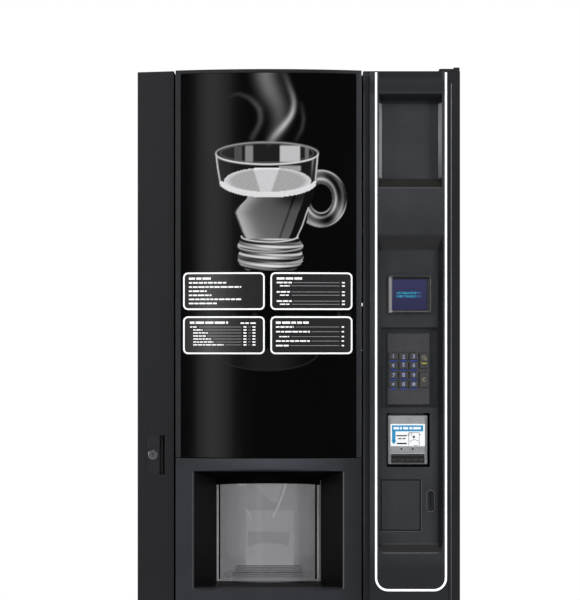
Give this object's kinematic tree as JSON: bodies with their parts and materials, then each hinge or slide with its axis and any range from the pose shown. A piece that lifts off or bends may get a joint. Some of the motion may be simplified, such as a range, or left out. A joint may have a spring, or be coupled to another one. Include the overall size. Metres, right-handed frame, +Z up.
{
  "type": "hot drink vending machine",
  "caption": "Full-height hot drink vending machine with a hinged front door, bowed display, turning cup window, keypad money column and brewing parts inside.",
  "frame": {"origin": "centre of the footprint on the floor", "axes": "+Z up, front towards -Y, +X to the right of a person who faces the machine"},
  "size_m": [0.74, 0.8, 1.836],
  "materials": {
    "cabinet_paint": "fine textured powder coat, near black",
    "zinc_steel": "zinc plated sheet, satin",
    "galvanised": "galvanised rear sheet, satin",
    "foot_steel": "turned and plated steel",
    "tank_jacket": "foam insulation jacket in grey film",
    "brewer_plastic": "glass filled plastic, satin",
    "piston_steel": "stainless, ground",
    "bowl_plastic": "natural polypropylene",
    "motor_black": "motor and gearbox housings, satin",
    "control_steel": "grey enamel",
    "fitting_brass": "machined",
    "nozzle_plastic": "silicone hose and moulded nozzle block",
    "canister_plastic": "translucent canister plastic",
    "auger_plastic": "white acetal",
    "cover_plastic": "grey cover",
    "whipper_blue": "blue moulded impeller",
    "turret_plastic": "grey moulded cup magazine",
    "bucket_plastic": "grey bucket plastic",
    "door_steel": "textured powder coat, near black",
    "frame_plastic": "satin dark surround",
    "display_gloss": "deep gloss black acrylic",
    "bezel_plastic": "satin moulded fascia",
    "chamber_plastic": "dark moulded chamber",
    "guide_steel": "brushed strip",
    "column_plastic": "fine grained moulded fascia",
    "trim_pale": "pale edging strip",
    "lcd_plastic": "gloss bezel over an indigo screen",
    "keypad_plastic": "satin keypad plate",
    "key_plastic": "moulded keys",
    "validator_grey": "bright face on a moulded transport body",
    "coin_plastic": "coin changer housing",
    "window_smoke": "smoked clear acrylic",
    "grille_steel": "stainless drip plate",
    "flap_plastic": "moulded flap",
    "coin_box_steel": "folded steel tray",
    "lock_chrome": "chromed cylinder",
    "latch_steel": "zinc plated bar"
  },
  "bodies": {
    "cabinet": {"base_frame": "cabinet_paint", "levelling_feet": "foot_steel", "left_side_panel": "cabinet_paint", "right_side_panel": "cabinet_paint", "rear_panel": "galvanised", "top_panel": "cabinet_paint", "interior_shelves": "zinc_steel", "hinge_brackets": "door_steel", "water_tank": "tank_jacket", "brewer_housing": "brewer_plastic", "mixing_bowls": "bowl_plastic", "drive_motors": "motor_black", "control_box": "control_steel", "inlet_fittings": "fitting_brass", "dispense_nozzles": "nozzle_plastic"},
    "door": {"door_frame": "door_steel", "left_pillar": "door_steel", "centre_frame": "frame_plastic", "display_panel": "display_gloss", "station_bezel": "bezel_plastic", "cup_chamber": "chamber_plastic", "window_guides": "guide_steel", "money_column": "column_plastic", "trim_line": "trim_pale", "lcd_module": "lcd_plastic", "keypad_plate": "keypad_plastic", "bill_validator": "validator_grey", "coin_mech": "coin_plastic"},
    "brewer_piston": {"brewer_piston": "piston_steel"},
    "canister_1": {"canister_1": "canister_plastic"},
    "canister_2": {"canister_2": "canister_plastic"},
    "canister_3": {"canister_3": "canister_plastic"},
    "auger_1": {"auger_1": "auger_plastic"},
    "auger_2": {"auger_2": "auger_plastic"},
    "auger_3": {"auger_3": "auger_plastic"},
    "canister_cover": {"canister_cover": "cover_plastic"},
    "whipper_1": {"whipper_1": "whipper_blue"},
    "whipper_2": {"whipper_2": "whipper_blue"},
    "cup_turret": {"cup_turret": "turret_plastic"},
    "waste_bucket": {"waste_bucket": "bucket_plastic"},
    "cup_window": {"cup_window": "window_smoke"},
    "drip_grille": {"drip_grille": "grille_steel"},
    "change_flap": {"change_flap": "flap_plastic"},
    "coin_box": {"coin_box": "coin_box_steel"},
    "lock_cylinder": {"lock_cylinder": "lock_chrome"},
    "latch_bar": {"latch_bar": "latch_steel"},
    "key_1": {"key_1": "key_plastic"},
    "key_2": {"key_2": "key_plastic"},
    "key_3": {"key_3": "key_plastic"},
    "key_4": {"key_4": "key_plastic"},
    "key_5": {"key_5": "key_plastic"},
    "key_6": {"key_6": "key_plastic"},
    "key_7": {"key_7": "key_plastic"},
    "key_8": {"key_8": "key_plastic"},
    "key_9": {"key_9": "key_plastic"},
    "key_star": {"key_star": "key_plastic"},
    "key_0": {"key_0": "key_plastic"},
    "key_hash": {"key_hash": "key_plastic"},
    "key_select": {"key_select": "key_plastic"},
    "key_cancel": {"key_cancel": "key_plastic"}
  },
  "joints": [
    {"name": "door_swing", "type": "hinge", "parent": "cabinet", "child": "door", "pos_m": [0.36, -0.34, 0.9], "axis": [0, 0, 1], "range_deg": [0, 110]},
    {"name": "brewer_stroke", "type": "slide", "parent": "cabinet", "child": "brewer_piston", "axis": [0, 0, -1], "range_m": [0, 0.06]},
    {"name": "canister_1_draw", "type": "slide", "parent": "cabinet", "child": "canister_1", "axis": [0, -1, 0], "range_m": [0, 0.11]},
    {"name": "auger_1_turn", "type": "hinge", "parent": "canister_1", "child": "auger_1", "pos_m": [0.066, 0, 1.345], "axis": [0, 1, 0], "continuous": true},
    {"name": "canister_2_draw", "type": "slide", "parent": "cabinet", "child": "canister_2", "axis": [0, -1, 0], "range_m": [0, 0.11]},
    {"name": "auger_2_turn", "type": "hinge", "parent": "canister_2", "child": "auger_2", "pos_m": [0.184, 0, 1.345], "axis": [0, 1, 0], "continuous": true},
    {"name": "canister_3_draw", "type": "slide", "parent": "cabinet", "child": "canister_3", "axis": [0, -1, 0], "range_m": [0, 0.11]},
    {"name": "auger_3_turn", "type": "hinge", "parent": "canister_3", "child": "auger_3", "pos_m": [0.302, 0, 1.345], "axis": [0, 1, 0], "continuous": true},
    {"name": "cover_lift", "type": "hinge", "parent": "cabinet", "child": "canister_cover", "pos_m": [0.184, 0.21, 1.605], "axis": [-1, 0, 0], "range_deg": [0, 36]},
    {"name": "whipper_1_turn", "type": "hinge", "parent": "cabinet", "child": "whipper_1", "pos_m": [0.184, -0.15, 1.212], "axis": [0, 1, 0], "continuous": true},
    {"name": "whipper_2_turn", "type": "hinge", "parent": "cabinet", "child": "whipper_2", "pos_m": [0.302, -0.15, 1.212], "axis": [0, 1, 0], "continuous": true},
    {"name": "turret_turn", "type": "hinge", "parent": "cabinet", "child": "cup_turret", "pos_m": [-0.12025, -0.1655, 1.5], "axis": [0, 0, 1], "continuous": true},
    {"name": "bucket_lift", "type": "slide", "parent": "cabinet", "child": "waste_bucket", "axis": [0, 0, 1], "range_m": [0, 0.06]},
    {"name": "window_turn", "type": "hinge", "parent": "door", "child": "cup_window", "pos_m": [-0.07075, -0.25126, 0.77], "axis": [0, 0, 1], "range_deg": [0, 130]},
    {"name": "grille_lift", "type": "slide", "parent": "door", "child": "drip_grille", "axis": [0, 0, 1], "range_m": [0, 0.04]},
    {"name": "flap_swing", "type": "hinge", "parent": "door", "child": "change_flap", "pos_m": [0.25, -0.351, 0.555], "axis": [1, 0, 0], "range_deg": [0, 50]},
    {"name": "coin_box_lift", "type": "slide", "parent": "door", "child": "coin_box", "axis": [0, 0, 1], "range_m": [0, 0.05]},
    {"name": "lock_turn", "type": "hinge", "parent": "door", "child": "lock_cylinder", "pos_m": [-0.3347, -0.34, 0.9465], "axis": [0, 1, 0], "range_deg": [0, 90]},
    {"name": "latch_slide", "type": "slide", "parent": "door", "child": "latch_bar", "axis": [0, 0, -1], "range_m": [0, 0.012]},
    {"name": "key_1_press", "type": "slide", "parent": "door", "child": "key_1", "axis": [0, 1, 0], "range_m": [0, 0.002], "stiffness_N_per_m": 400},
    {"name": "key_2_press", "type": "slide", "parent": "door", "child": "key_2", "axis": [0, 1, 0], "range_m": [0, 0.002], "stiffness_N_per_m": 400},
    {"name": "key_3_press", "type": "slide", "parent": "door", "child": "key_3", "axis": [0, 1, 0], "range_m": [0, 0.002], "stiffness_N_per_m": 400},
    {"name": "key_4_press", "type": "slide", "parent": "door", "child": "key_4", "axis": [0, 1, 0], "range_m": [0, 0.002], "stiffness_N_per_m": 400},
    {"name": "key_5_press", "type": "slide", "parent": "door", "child": "key_5", "axis": [0, 1, 0], "range_m": [0, 0.002], "stiffness_N_per_m": 400},
    {"name": "key_6_press", "type": "slide", "parent": "door", "child": "key_6", "axis": [0, 1, 0], "range_m": [0, 0.002], "stiffness_N_per_m": 400},
    {"name": "key_7_press", "type": "slide", "parent": "door", "child": "key_7", "axis": [0, 1, 0], "range_m": [0, 0.002], "stiffness_N_per_m": 400},
    {"name": "key_8_press", "type": "slide", "parent": "door", "child": "key_8", "axis": [0, 1, 0], "range_m": [0, 0.002], "stiffness_N_per_m": 400},
    {"name": "key_9_press", "type": "slide", "parent": "door", "child": "key_9", "axis": [0, 1, 0], "range_m": [0, 0.002], "stiffness_N_per_m": 400},
    {"name": "key_star_press", "type": "slide", "parent": "door", "child": "key_star", "axis": [0, 1, 0], "range_m": [0, 0.002], "stiffness_N_per_m": 400},
    {"name": "key_0_press", "type": "slide", "parent": "door", "child": "key_0", "axis": [0, 1, 0], "range_m": [0, 0.002], "stiffness_N_per_m": 400},
    {"name": "key_hash_press", "type": "slide", "parent": "door", "child": "key_hash", "axis": [0, 1, 0], "range_m": [0, 0.002], "stiffness_N_per_m": 400},
    {"name": "key_select_press", "type": "slide", "parent": "door", "child": "key_select", "axis": [0, 1, 0], "range_m": [0, 0.002], "stiffness_N_per_m": 400},
    {"name": "key_cancel_press", "type": "slide", "parent": "door", "child": "key_cancel", "axis": [0, 1, 0], "range_m": [0, 0.002], "stiffness_N_per_m": 400}
  ],
  "couplings": [
    {"joint": "lock_turn", "follows": "latch_slide", "rad_per_m": 130.9}
  ]
}
